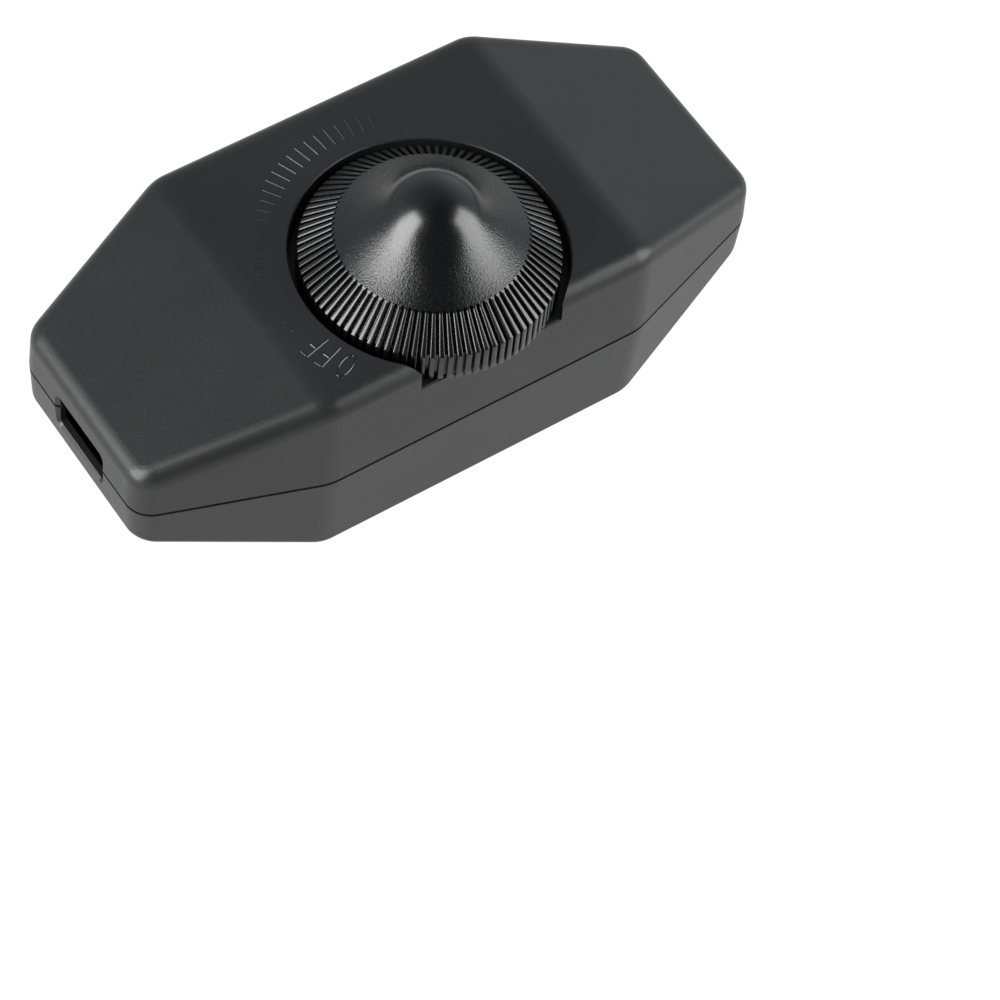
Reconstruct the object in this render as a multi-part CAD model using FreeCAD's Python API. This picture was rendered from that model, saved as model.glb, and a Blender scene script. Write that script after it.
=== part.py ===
# Rotary cord dimmer: a moulded case in two halves, a ribbed hat-shaped dial let into its top and
# standing a little through its side, a switched potentiometer under the dial, and a small power
# board with terminals and cord clamps inside.
# Millimetres. The origin is the middle of the flat underside. +X runs along the cord, +Z is up,
# and the dial's rim shows through the -Y side.
import FreeCAD, Part
import math
import os

V = FreeCAD.Vector
UP = V(0, 0, 1)
ALONG_X = V(1, 0, 0)
ALONG_Y = V(0, 1, 0)

# Case, outside, measured where its two halves meet
CASE_LENGTH = 90.0
CASE_WIDTH = 42.0
CASE_HEIGHT = 29.0
MID_LENGTH = 45.0
END_WIDTH = 26.8
END_HEIGHT = 12.4
DRAFT_DEG = 2.25
CORNER_RADIUS = 3.6
FOLD_RADIUS = 7.0
TOP_EDGE_RADIUS = 2.6
BASE_EDGE_RADIUS = 1.2

# Case, walls and seam
SIDE_WALL = 1.8
END_WALL = 1.2
ROOF_WALL = 1.8
INNER_CORNER = 0.5
SEAM_HEIGHT = 0.5
SEAM_DEPTH = 0.7
TAB_LENGTH = 9.0
TAB_SPREAD = 16.0
TAB_DEPTH = 1.5
TAB_WALL = 0.9
TAB_ROOT = 0.6

# Cord slots in the two ends
SLOT_WIDTH = 10.3
SLOT_ABOVE = 2.15
SLOT_BELOW = 3.25
SLOT_CORNER = 0.7
SLOT_FLARE = 0.5

# Case screws and their bosses
BOSS_FROM_FOLD = 3.5
BOSS_FROM_SIDE = 5.0
BOSS_RADIUS = 3.2
CASE_SCREW_RADIUS = 1.3
CASE_SCREW_LENGTH = 16.0
CASE_HEAD_RADIUS = 2.4
CASE_HEAD_HEIGHT = 1.7
CASE_HEAD_SEAT = 4.0

# Dial
DIAL_Y = -6.5
DIAL_RADIUS = 16.05
RIM_HEIGHT = 4.35
CROWN_RADIUS = 11.8
CROWN_RISE = 3.5
TIP_RISE = 8.2
TIP_RADIUS = 7.0
STEEP_DEG = 52.0
RIB_COUNT = 90
GROOVE_WIDTH = 0.48
GROOVE_DEPTH = 0.7
CROWN_LIP = 0.15
RIM_WALL = 2.0
BAND_WALL = 1.8
HUB_RADIUS = 5.0
DIAL_TRAVEL_DEG = 300.0

# Pocket for the dial
POCKET_GAP = 1.1
POCKET_DEPTH = 4.45
POCKET_FLOOR = 1.6
POCKET_WALL = 1.6
POCKET_BEVEL = 0.15
NOTCH_WIDTH = 20.2
LEDGE_RUN = 0.26
LEDGE_DROP = 0.13
DIAL_LIFT = 0.35

# Potentiometer with its switch
SHAFT_RADIUS = 3.0
SHAFT_FLAT = 1.5
SHAFT_GRIP = 8.5
BUSHING_RADIUS = 3.5
BUSHING_ABOVE_FLOOR = 2.8
FLANGE_RADIUS = 5.2
FLANGE_HEIGHT = 1.0
WASHER_RADIUS = 6.4
WASHER_HEIGHT = 0.5
NUT_ACROSS = 10.0
NUT_HEIGHT = 2.0
CAN_RADIUS = 8.2
CAN_HEIGHT = 7.0
CAN_WALL = 0.5
WAFER_HEIGHT = 1.0
WAFER_TONGUE = 10.2
WAFER_TONGUE_WIDTH = 13.0
ROTOR_HEIGHT = 3.0
STOP_REACH = 0.5
LUG_HALF_DEG = 13.0
STOP_PLAY_DEG = 2.0
STOP_AT_DEG = 90.0
SPRING_HEIGHT = 0.4
SPRING_INNER = 4.6
SPRING_OUTER = 6.4
SWITCH_RADIUS = 8.0
SWITCH_HEIGHT = 6.0
TRACK_PIN_PITCH = 4.0
SWITCH_PIN_PITCH = 6.0
SWITCH_PIN_OFFSET = 6.0
STRIP_WIDTH = 1.2
STRIP_THICKNESS = 0.4

# Circuit board and its posts
BOARD_LENGTH = 47.0
BOARD_GAP = 1.1
BOARD_THICKNESS = 1.6
BOARD_POST_FROM_END = 3.0
BOARD_POST_FROM_BOSS = 6.0
BOARD_POST_WIDTH = 4.0
BOARD_SCREW_RADIUS = 1.1
BOARD_SCREW_LENGTH = 5.0
BOARD_HEAD_RADIUS = 2.0
BOARD_HEAD_HEIGHT = 1.3
LEAD_TAIL = 1.2

# Parts on the board, placed from its middle
HEAT_SINK_X = 7.0
HEAT_SINK_WIDTH = 14.0
HEAT_SINK_HEIGHT = 12.5
HEAT_SINK_THICKNESS = 1.5
HEAT_SINK_FROM_EDGE = 1.0
HEAT_SINK_LEG = 2.0
TRIAC_WIDTH = 7.8
TRIAC_HEIGHT = 10.8
TRIAC_THICKNESS = 2.7
TRIAC_LIFT = 1.6
TRIAC_HOLE_DROP = 3.4
TRIAC_PIN_PITCH = 2.3
TRIAC_SCREW_RADIUS = 1.5
TRIAC_HEAD_RADIUS = 2.6
TRIAC_HEAD_HEIGHT = 1.8
CHOKE_X = -9.5
CHOKE_FROM_EDGE = 8.3
CHOKE_RADIUS = 5.3
CHOKE_HOLE = 2.9
CHOKE_HEIGHT = 4.6
CHOKE_WIRE = 0.6
CHOKE_TURN_DEG = 310.0
CHOKE_LEAD_DEG = 12.0
FILM_CAP_SIZE = (5.0, 12.0, 10.0)
TIMING_CAP_SIZE = (4.5, 7.5, 8.0)
CAP_FROM_CAN = 0.9
CAP_BEVEL = 0.6
CAP_Y = -4.0
AXIAL_FROM_EDGE = 1.2
AXIAL_ROW_PITCH = 2.7
AXIAL_FROM_BOSS = 7.5
AXIAL_OUTER_FROM_BOSS = 9.5
AXIAL_LIFT = 0.3
RESISTOR_BODY = (1.2, 4.8, 7.0)
DIAC_BODY = (0.95, 3.8, 6.0)
FUSE_BODY = (1.15, 5.0, 7.0)
LEAD_WIDTH = 0.6

# Terminal blocks
BLOCK_DEPTH = 8.0
BLOCK_WIDTH = 11.0
BLOCK_HEIGHT = 10.0
BLOCK_BEVEL = 1.5
POLE_PITCH = 5.0
CAGE_WIDTH = 3.2
CAGE_HEIGHT = 3.5
CAGE_LENGTH = 4.0
CAGE_LIFT = 2.0
WIRE_HOLE = 2.2
TERMINAL_SCREW_RADIUS = 1.25
TERMINAL_SCREW_LENGTH = 3.8

# Cord clamps
CLAMP_FROM_END = 9.0
CLAMP_SPREAD = 16.0
CLAMP_LENGTH = 21.6
CLAMP_WIDTH = 5.0
CLAMP_THICKNESS = 2.2
CLAMP_BEVEL = 1.4
CLAMP_TOOTH = 0.8
CLAMP_TOOTH_WIDTH = 1.2
CORD_GAP = 5.3
CLAMP_POST_WIDTH = 5.0
GRIP_RIB_WIDTH = 2.4
CLAMP_SCREW_RADIUS = 1.1
CLAMP_SCREW_LENGTH = 8.0
CLAMP_HEAD_RADIUS = 2.1
CLAMP_HEAD_HEIGHT = 1.3

# Screw heads
HEAD_TAPER = 0.4
RECESS_WIDTH = 0.7
RECESS_DEPTH = 0.8

# Clearances
RUNNING = 0.05
SLIP = 0.02
HOLE_PLAY = 0.1
LOOSE = 0.3
CUT = 1.0

# Heights and places that follow from the sizes above
PARTING = CASE_HEIGHT / 2
DRAFT = math.tan(math.radians(DRAFT_DEG))
POCKET_RADIUS = DIAL_RADIUS + POCKET_GAP
POCKET_Z = CASE_HEIGHT - POCKET_DEPTH
POCKET_UNDERSIDE = POCKET_Z - POCKET_FLOOR
RIM_Z = POCKET_Z + DIAL_LIFT
RIM_TOP = RIM_Z + RIM_HEIGHT
CROWN_Z = RIM_TOP + CROWN_RISE
TIP_Z = CROWN_Z + TIP_RISE
BUSHING_TOP = POCKET_Z + BUSHING_ABOVE_FLOOR
HUB_Z = BUSHING_TOP + LOOSE
SHAFT_TOP = HUB_Z + SHAFT_GRIP
CAN_Z = POCKET_UNDERSIDE - CAN_HEIGHT
WAFER_Z = CAN_Z - WAFER_HEIGHT
BOARD_TOP = WAFER_Z - SWITCH_HEIGHT
BOARD_Z = BOARD_TOP - BOARD_THICKNESS
LEAD_Z = BOARD_Z - LEAD_TAIL
BOARD_HALF_WIDTH = CASE_WIDTH / 2 - SIDE_WALL - BOARD_GAP
BOSS_X = MID_LENGTH / 2 - BOSS_FROM_FOLD
BOSS_Y = CASE_WIDTH / 2 - BOSS_FROM_SIDE
BOARD_POST_X = BOARD_LENGTH / 2 - BOARD_POST_FROM_END
BOARD_POST_Y = BOSS_Y - BOARD_POST_FROM_BOSS
SILL_Z = PARTING - SLOT_BELOW
CLAMP_X = CASE_LENGTH / 2 - CLAMP_FROM_END
CLAMP_Z = SILL_Z + CORD_GAP
BLOCK_X = BOARD_LENGTH / 2 - BLOCK_DEPTH / 2
AXIAL_X = BOSS_X - AXIAL_FROM_BOSS
AXIAL_OUTER_X = BOSS_X - AXIAL_OUTER_FROM_BOSS
AXIAL_OUTER_ROW_Y = BOARD_HALF_WIDTH - AXIAL_FROM_EDGE
AXIAL_ROW_Y = AXIAL_OUTER_ROW_Y - AXIAL_ROW_PITCH
CHOKE_Y = BOARD_HALF_WIDTH - CHOKE_FROM_EDGE
HEAT_SINK_Y = BOARD_HALF_WIDTH - HEAT_SINK_FROM_EDGE - HEAT_SINK_THICKNESS
TRIAC_Z = BOARD_TOP + TRIAC_LIFT
TRIAC_HOLE_Z = TRIAC_Z + TRIAC_HEIGHT - TRIAC_HOLE_DROP


# Small helpers

def box(x0, x1, y0, y1, z0, z1):
    return Part.makeBox(x1 - x0, y1 - y0, z1 - z0, V(x0, y0, z0))


def rod(radius, z0, z1, x=0.0, y=0.0):
    return Part.makeCylinder(radius, z1 - z0, V(x, y, z0))


def dial_rod(radius, z0, z1):
    return rod(radius, z0, z1, 0.0, DIAL_Y)


def four_corners(x, y):
    return [(x, y), (-x, y), (-x, -y), (x, -y)]


def diagonal(x, y):
    return [(x, y), (-x, -y)]


def spun(profile, degrees=360.0):
    """A closed profile of (radius, height) points turned about the dial's axis."""
    points = [V(r, DIAL_Y, z) for r, z in profile]
    face = Part.Face(Part.makePolygon(points + points[:1]))
    return face.revolve(V(0, DIAL_Y, 0), UP, degrees)


def wedge(profile, spread):
    """A profile of (radius, height) points widened evenly from the dial's axis, with flat faces."""
    left = [V(r, DIAL_Y - r * spread, z) for r, z in profile]
    right = [V(r, DIAL_Y + r * spread, z) for r, z in profile]
    rings = [left, right]
    for a in range(len(profile)):
        rings.append([left[a - 1], left[a], right[a], right[a - 1]])
    faces = [Part.Face(Part.makePolygon(ring + ring[:1])) for ring in rings]
    return Part.Solid(Part.Shell(faces))


def turned(shape, degrees):
    copy = shape.copy()
    copy.rotate(V(0, DIAL_Y, 0), UP, degrees)
    return copy


def group(shapes):
    return Part.makeCompound(shapes)


def screw(head_radius, head_height, shank_radius, shank_length):
    """A pan-head screw pointing down -Z, with its head's seat at the origin."""
    head = Part.makeCone(head_radius, head_radius - head_height * HEAD_TAPER, head_height)
    return head.fuse(rod(shank_radius, -shank_length, 0))


def cross_recess(head_radius, head_height):
    """The driver's cross in the top of a head."""
    half, wide = head_radius / 2, RECESS_WIDTH / 2
    floor = head_height - RECESS_DEPTH
    bar = box(-half, half, -wide, wide, floor, head_height + CUT)
    return bar.fuse(box(-wide, wide, -half, half, floor, head_height + CUT))


def at(shape, x, y, z):
    copy = shape.copy()
    copy.translate(V(x, y, z))
    return copy


# Case blanks: the plan outline drawn up with draft, met by the side view drawn across

def case_outline(side_inset, end_inset):
    """The eight plan corners, with the long and slanted walls and the end walls moved inwards."""
    run = (CASE_LENGTH - MID_LENGTH) / 2
    fall = (CASE_WIDTH - END_WIDTH) / 2
    reach = fall * MID_LENGTH / 2 + run * CASE_WIDTH / 2 - side_inset * math.hypot(run, fall)
    mid_y = CASE_WIDTH / 2 - side_inset
    mid_x = (reach - run * mid_y) / fall
    end_x = CASE_LENGTH / 2 - end_inset
    end_y = (reach - fall * end_x) / run
    right = [(mid_x, mid_y), (end_x, end_y), (end_x, -end_y), (mid_x, -mid_y)]
    left = [(-x, -y) for x, y in right]
    return right + left


def plan_block(side_inset, end_inset, height, draft):
    """The plan outline raised from zero, its walls leaning in by the draft, with rounded uprights."""
    lean = height * draft
    low = [V(x, y, 0) for x, y in case_outline(side_inset, end_inset)]
    high = [V(x, y, height) for x, y in case_outline(side_inset + lean, end_inset + lean)]
    rings = [low, high]
    for a in range(len(low)):
        b = (a + 1) % len(low)
        rings.append([low[a], low[b], high[b], high[a]])
    faces = [Part.Face(Part.makePolygon(ring + ring[:1])) for ring in rings]
    block = Part.Solid(Part.Shell(faces))
    middle = (CASE_LENGTH + MID_LENGTH) / 4
    for radius, outer in ((CORNER_RADIUS, True), (FOLD_RADIUS, False)):
        uprights = [e for e in block.Edges if e.BoundBox.ZLength > height / 2]
        uprights = [e for e in uprights if len(e.Vertexes) == 2]
        chosen = [e for e in uprights if is_sharp(block, e) and (abs(e.CenterOfMass.x) > middle) == outer]
        block = block.makeFillet(max(radius - side_inset, INNER_CORNER), chosen)
    return block


def is_sharp(shape, edge):
    """True where the two faces at an edge meet at an angle."""
    faces = shape.ancestorsOfType(edge, Part.Face)
    spot = edge.CenterOfMass
    normals = [face.normalAt(*face.Surface.parameter(spot)) for face in faces]
    return len(normals) == 2 and normals[0].cross(normals[1]).Length > SLIP


def side_block(inset):
    """The upper half's side view, level in the middle and falling to both ends, run across."""
    run = (CASE_LENGTH - MID_LENGTH) / 2
    fall = (CASE_HEIGHT - END_HEIGHT) / 2
    slant = math.hypot(run, fall)
    level = PARTING - inset
    fold_x = MID_LENGTH / 2 - inset * (slant - run) / fall
    reach = CASE_LENGTH / 2 + CUT
    end_z = level - (reach - fold_x) * fall / run
    outline = [(-reach, 0), (reach, 0), (reach, end_z), (fold_x, level), (-fold_x, level), (-reach, end_z)]
    points = [V(x, -CASE_WIDTH, z) for x, z in outline]
    block = Part.Face(Part.makePolygon(points + points[:1])).extrude(ALONG_Y * (2 * CASE_WIDTH))
    folds = [e for e in block.Edges if e.BoundBox.YLength > CASE_WIDTH and e.BoundBox.ZMin > level - SLIP]
    return block.makeFillet(FOLD_RADIUS, folds)


def half_blank(side_inset, end_inset, roof_inset):
    """The upper half of the case as a solid block standing on zero."""
    return plan_block(side_inset, end_inset, PARTING, DRAFT).common(side_block(roof_inset))


def rim_edges(blank):
    """The edges where the roof meets the walls: neither on the parting plane nor a fold of the roof."""
    found = []
    for edge in blank.Edges:
        span = edge.BoundBox
        crosswise = span.XLength < SLIP and span.ZLength < SLIP
        fold = crosswise and abs(edge.CenterOfMass.x) < CASE_LENGTH / 2 - END_HEIGHT
        if span.ZMin > SLIP and not fold:
            found.append(edge)
    return found


def half_outside(edge_radius):
    blank = half_blank(0, 0, 0)
    return at(blank.makeFillet(edge_radius, rim_edges(blank)), 0, 0, PARTING)


def upper_inside():
    return at(half_blank(SIDE_WALL, END_WALL, ROOF_WALL), 0, 0, PARTING)


def turned_over(upper):
    return upper.mirror(V(0, 0, PARTING), UP)


def cord_slots():
    """A rounded slot through each end, running a little past both faces of the wall, its mouth flared."""
    half = SLOT_WIDTH / 2
    inner_x, outer_x = CASE_LENGTH / 2 - END_WALL - CUT, CASE_LENGTH / 2 + CUT
    slot = box(inner_x, outer_x, -half, half, SILL_Z, PARTING + SLOT_ABOVE)
    slot = slot.makeFillet(SLOT_CORNER, [e for e in slot.Edges if e.BoundBox.XLength > END_WALL])
    throat = [face for face in slot.Faces if face.BoundBox.XMin > CASE_LENGTH / 2][0]
    spread = SLOT_FLARE + CUT
    mouth = throat.makeOffset2D(spread).OuterWire
    slot = slot.fuse(Part.makeLoft([at(throat.OuterWire, -spread, 0, 0), mouth], True))
    return [slot, slot.mirror(V(0, 0, 0), ALONG_X)]


def locating_tabs():
    """Tongues of the top cover that drop inside the bottom cover's long walls."""
    tabs = []
    face = CASE_WIDTH / 2 - SIDE_WALL - HOLE_PLAY
    for side in (1, -1):
        for middle in (TAB_SPREAD / 2, -TAB_SPREAD / 2):
            ends = (middle - TAB_LENGTH / 2, middle + TAB_LENGTH / 2)
            low = sorted((side * (face - TAB_WALL), side * face))
            high = sorted((side * (face - TAB_WALL), side * (face + TAB_ROOT)))
            tabs.append(box(*ends, *low, PARTING - TAB_DEPTH, PARTING + TAB_DEPTH))
            tabs.append(box(*ends, *high, PARTING, PARTING + TAB_DEPTH))
    return tabs


# Case

def boss_spots():
    return diagonal(BOSS_X, BOSS_Y)


def board_screw_spots():
    """The two board posts that take a screw, on the diagonal that the case screws leave free."""
    return diagonal(BOARD_POST_X, -BOARD_POST_Y)


def post(half, z1, x, y):
    """A square post rising from the floor."""
    return box(x - half, x + half, y - half, y + half, 0, z1)


def notch():
    """Opens the pocket through the long side, its uprights blunt where the pocket leaves a thin edge."""
    half = NOTCH_WIDTH / 2
    inner_y = DIAL_Y - math.sqrt(POCKET_RADIUS ** 2 - half ** 2)
    return box(-half, half, -CASE_WIDTH, inner_y, POCKET_Z, CASE_HEIGHT + CUT)


def ledge_bevel():
    """Breaks the edge where the pocket's floor comes out through the side."""
    half = NOTCH_WIDTH / 2
    slant = LEDGE_DROP / LEDGE_RUN
    face_y = -CASE_WIDTH / 2 + (POCKET_Z - PARTING) * DRAFT
    inner_y, outer_y = face_y + LEDGE_RUN + CUT, face_y - CUT
    low_z = POCKET_Z - (LEDGE_RUN + CUT) * slant
    outline = [(inner_y, POCKET_Z + CUT * slant), (outer_y, POCKET_Z + CUT), (outer_y, low_z)]
    points = [V(-half, y, z) for y, z in outline]
    return Part.Face(Part.makePolygon(points + points[:1])).extrude(ALONG_X * NOTCH_WIDTH)


def top_cover():
    outside = half_outside(TOP_EDGE_RADIUS)
    cup = dial_rod(POCKET_RADIUS + POCKET_WALL, POCKET_UNDERSIDE, CASE_HEIGHT).common(outside)
    bosses = [rod(BOSS_RADIUS, PARTING, CASE_HEIGHT, x, y).common(outside) for x, y in boss_spots()]
    cover = outside.cut(upper_inside()).fuse([cup] + bosses + locating_tabs())
    pocket = dial_rod(POCKET_RADIUS, POCKET_Z, CASE_HEIGHT + CUT)
    bevel = Part.makeCone(POCKET_RADIUS, POCKET_RADIUS + POCKET_BEVEL, POCKET_BEVEL,
                          V(0, DIAL_Y, CASE_HEIGHT - POCKET_BEVEL))
    bushing_hole = dial_rod(BUSHING_RADIUS + HOLE_PLAY, POCKET_UNDERSIDE - CUT, CASE_HEIGHT)
    screw_top = CASE_HEAD_SEAT + CASE_SCREW_LENGTH + LOOSE
    pilot = CASE_SCREW_RADIUS + SLIP
    pilots = [rod(pilot, PARTING - CUT, screw_top, x, y) for x, y in boss_spots()]
    return cover.cut([pocket, bevel, notch(), ledge_bevel(), bushing_hole] + pilots + cord_slots())


def bottom_cover():
    outside = turned_over(half_outside(BASE_EDGE_RADIUS))
    whole = outside.fuse(half_outside(TOP_EDGE_RADIUS))
    posts = [rod(BOSS_RADIUS, 0, PARTING, x, y) for x, y in boss_spots()]
    posts += [post(BOARD_POST_WIDTH / 2, BOARD_Z, x, y) for x, y in four_corners(BOARD_POST_X, BOARD_POST_Y)]
    posts += [post(CLAMP_POST_WIDTH / 2, CLAMP_Z, x, y) for x, y in four_corners(CLAMP_X, CLAMP_SPREAD / 2)]
    half = GRIP_RIB_WIDTH / 2
    for x in (CLAMP_X, -CLAMP_X):
        posts.append(box(x - half, x + half, -CLAMP_SPREAD / 2, CLAMP_SPREAD / 2, 0, SILL_Z))
    cover = outside.cut(turned_over(upper_inside())).fuse([one.common(whole) for one in posts])
    cuts = cord_slots() + [seam_ring()]
    for x, y in boss_spots():
        cuts.append(rod(CASE_HEAD_RADIUS + LOOSE, -CUT, CASE_HEAD_SEAT, x, y))
        cuts.append(rod(CASE_SCREW_RADIUS + HOLE_PLAY, 0, PARTING + CUT, x, y))
    for x, y in board_screw_spots():
        pilot_z = BOARD_TOP - BOARD_SCREW_LENGTH - LOOSE
        cuts.append(rod(BOARD_SCREW_RADIUS + SLIP, pilot_z, BOARD_TOP, x, y))
    for x, y in four_corners(CLAMP_X, CLAMP_SPREAD / 2):
        pilot_z = CLAMP_Z + CLAMP_THICKNESS - CLAMP_SCREW_LENGTH - LOOSE
        cuts.append(rod(CLAMP_SCREW_RADIUS + SLIP, pilot_z, CLAMP_Z + CUT, x, y))
    return cover.cut(cuts)


def seam_ring():
    """The shadow line round the case, a shallow step in the bottom cover's outer rim."""
    outer = plan_block(-CUT, -CUT, SEAM_HEIGHT, 0)
    inner = plan_block(SEAM_DEPTH, SEAM_DEPTH, SEAM_HEIGHT, 0)
    return at(outer.cut(inner), 0, 0, PARTING - SEAM_HEIGHT)


def case_screws():
    one = screw(CASE_HEAD_RADIUS, CASE_HEAD_HEIGHT, CASE_SCREW_RADIUS, CASE_SCREW_LENGTH)
    one = one.cut(cross_recess(CASE_HEAD_RADIUS, CASE_HEAD_HEIGHT))
    one.rotate(V(0, 0, 0), ALONG_X, 180)
    return group([at(one, x, y, CASE_HEAD_SEAT) for x, y in boss_spots()])


# Dial and its drive

def dial_outside():
    """The hat: a round tip that runs out into one hollow flare, then the slanted band and the rim."""
    steep = math.radians(STEEP_DEG)
    ball_z = TIP_Z - TIP_RADIUS
    top_r, top_z = TIP_RADIUS * math.sin(steep), ball_z + TIP_RADIUS * math.cos(steep)
    reach, drop = CROWN_RADIUS - top_r, top_z - CROWN_Z
    chord = math.atan2(drop, reach)
    half_reach = math.hypot(reach, drop) / (2 * math.cos((steep - chord) / 2))
    lean = (steep + chord) / 2

    def spot(r, z):
        return V(r, DIAL_Y, z)

    tip = Part.Arc(spot(0, TIP_Z),
                   spot(TIP_RADIUS * math.sin(steep / 2), ball_z + TIP_RADIUS * math.cos(steep / 2)),
                   spot(top_r, top_z)).toShape()
    flare = Part.Arc(spot(top_r, top_z),
                     spot(top_r + half_reach * math.cos(lean), top_z - half_reach * math.sin(lean)),
                     spot(CROWN_RADIUS, CROWN_Z)).toShape()
    lower = Part.makePolygon([spot(CROWN_RADIUS, CROWN_Z), spot(DIAL_RADIUS, RIM_TOP),
                              spot(DIAL_RADIUS, RIM_Z), spot(0, RIM_Z), spot(0, TIP_Z)])
    return Part.Face(Part.Wire([tip, flare] + lower.Edges)).revolve(V(0, DIAL_Y, 0), UP, 360)


def dial_grooves():
    """One groove across the band and down the rim, its sides radial, repeated round the dial."""
    slope = math.atan2(CROWN_RISE, DIAL_RADIUS - CROWN_RADIUS)
    start = CROWN_RADIUS + CROWN_LIP
    foot = DIAL_RADIUS - GROOVE_DEPTH
    floor_drop = GROOVE_DEPTH / math.cos(slope)
    foot_z = RIM_TOP + GROOVE_DEPTH * math.tan(slope) - floor_drop
    start_z = CROWN_Z - CROWN_LIP * math.tan(slope) - floor_drop
    profile = [(start, CROWN_Z + CUT), (start, start_z), (foot, foot_z), (foot, RIM_Z - CUT),
               (DIAL_RADIUS + CUT, RIM_Z - CUT), (DIAL_RADIUS + CUT, CROWN_Z + CUT)]
    groove = wedge(profile, GROOVE_WIDTH / 2 / DIAL_RADIUS)
    return [turned(groove, step * 360.0 / RIB_COUNT) for step in range(RIB_COUNT)]


def dial_hollow():
    """The space under the dial, round its hub, with the band at an even thickness."""
    slope = math.atan2(CROWN_RISE, DIAL_RADIUS - CROWN_RADIUS)
    rim_r = DIAL_RADIUS - RIM_WALL
    drop = BAND_WALL / math.cos(slope)
    rim_z = RIM_TOP + RIM_WALL * math.tan(slope) - drop
    roof_z = CROWN_Z - drop
    return spun([(0, RIM_Z - CUT), (rim_r, RIM_Z - CUT), (rim_r, rim_z), (CROWN_RADIUS, roof_z),
                 (HUB_RADIUS, roof_z), (HUB_RADIUS, HUB_Z), (0, HUB_Z)])


def flatted(radius, flat, z0, z1):
    """A D-shaped length of shaft, flat on its +Y side."""
    keep = box(-radius - CUT, radius + CUT, DIAL_Y - radius - CUT, DIAL_Y + flat, z0, z1)
    return dial_rod(radius, z0, z1).common(keep)


def dial_knob():
    bore = flatted(SHAFT_RADIUS + SLIP, SHAFT_FLAT + SLIP, HUB_Z - CUT, SHAFT_TOP + LOOSE)
    return dial_outside().cut([dial_hollow(), bore] + dial_grooves())


def pot_shaft():
    round_part = dial_rod(SHAFT_RADIUS, CAN_Z + LOOSE, BUSHING_TOP)
    return round_part.fuse(flatted(SHAFT_RADIUS, SHAFT_FLAT, BUSHING_TOP, SHAFT_TOP)).removeSplitter()


def pot_bushing():
    flange_top = POCKET_UNDERSIDE - CAN_WALL
    tube = dial_rod(BUSHING_RADIUS, flange_top - FLANGE_HEIGHT, BUSHING_TOP)
    flange = dial_rod(FLANGE_RADIUS, flange_top - FLANGE_HEIGHT, flange_top)
    bore = dial_rod(SHAFT_RADIUS + RUNNING, CAN_Z, BUSHING_TOP + CUT)
    return tube.fuse(flange).cut(bore).removeSplitter()


def bushing_washer():
    ring = dial_rod(WASHER_RADIUS, POCKET_Z, POCKET_Z + WASHER_HEIGHT)
    return ring.cut(dial_rod(BUSHING_RADIUS + HOLE_PLAY, POCKET_Z - CUT, POCKET_Z + WASHER_HEIGHT + CUT))


def bushing_nut():
    z0 = POCKET_Z + WASHER_HEIGHT
    corner = NUT_ACROSS / 2 / math.cos(math.radians(30))
    turns = [math.radians(60 * step) for step in range(7)]
    ring = [V(corner * math.cos(t), DIAL_Y + corner * math.sin(t), z0) for t in turns]
    nut = Part.Face(Part.makePolygon(ring)).extrude(UP * NUT_HEIGHT)
    return nut.cut(dial_rod(BUSHING_RADIUS + SLIP, z0 - CUT, z0 + NUT_HEIGHT + CUT))


def stop_sector(inner, outer, z0, z1, half_degrees, middle_degrees):
    ring = spun([(inner, z0), (outer, z0), (outer, z1), (inner, z1)], 2 * half_degrees)
    return turned(ring, middle_degrees - half_degrees)


def pot_can():
    """The pressed steel can, open below, with the stop pressed inwards from its wall."""
    inner = CAN_RADIUS - CAN_WALL
    roof_z = POCKET_UNDERSIDE - CAN_WALL
    can = dial_rod(CAN_RADIUS, CAN_Z, POCKET_UNDERSIDE).cut(dial_rod(inner, CAN_Z - CUT, roof_z))
    stop_half = (360 - DIAL_TRAVEL_DEG) / 2 - LUG_HALF_DEG - STOP_PLAY_DEG
    stop = stop_sector(inner - STOP_REACH, CAN_RADIUS - CAN_WALL / 2, CAN_Z, roof_z, stop_half, STOP_AT_DEG)
    hole = dial_rod(BUSHING_RADIUS + SLIP, CAN_Z, POCKET_UNDERSIDE + CUT)
    return can.fuse(stop).cut(hole).removeSplitter()


def wiper_rotor():
    """The moulded disc on the shaft, with a lug that meets the can's stop at each end of the turn."""
    z0 = CAN_Z + RUNNING + SPRING_HEIGHT
    z1 = z0 + ROTOR_HEIGHT
    inner = CAN_RADIUS - CAN_WALL - STOP_REACH - LOOSE
    lug_at = STOP_AT_DEG - (360 - DIAL_TRAVEL_DEG) / 2
    lug_end = CAN_RADIUS - CAN_WALL - LOOSE / 2
    lug = stop_sector(SHAFT_RADIUS + CAN_WALL, lug_end, z0, z1, LUG_HALF_DEG, lug_at)
    hole = dial_rod(SHAFT_RADIUS + SLIP, CAN_Z, z1 + CUT)
    return dial_rod(inner, z0, z1).fuse(lug).cut(hole).removeSplitter()


def wiper_spring():
    z0 = CAN_Z + RUNNING
    ring = dial_rod(SPRING_OUTER, z0, z0 + SPRING_HEIGHT)
    return ring.cut(dial_rod(SPRING_INNER, z0 - CUT, z0 + SPRING_HEIGHT + CUT))


def track_wafer():
    half = WAFER_TONGUE_WIDTH / 2
    tongue = box(-half, half, DIAL_Y - WAFER_TONGUE, DIAL_Y, WAFER_Z, CAN_Z)
    return dial_rod(CAN_RADIUS, WAFER_Z, CAN_Z).fuse(tongue).removeSplitter()


def strip(x, y, z0, z1, play=0.0):
    """A flat solder lug, or with some play, the hole that takes it."""
    across, deep = STRIP_WIDTH / 2 + play, STRIP_THICKNESS / 2 + play
    return box(x - across, x + across, y - deep, y + deep, z0, z1)


def track_pin_spots():
    y = DIAL_Y - (SWITCH_RADIUS + WAFER_TONGUE) / 2
    return [(x, y) for x in (-TRACK_PIN_PITCH, 0.0, TRACK_PIN_PITCH)]


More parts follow.
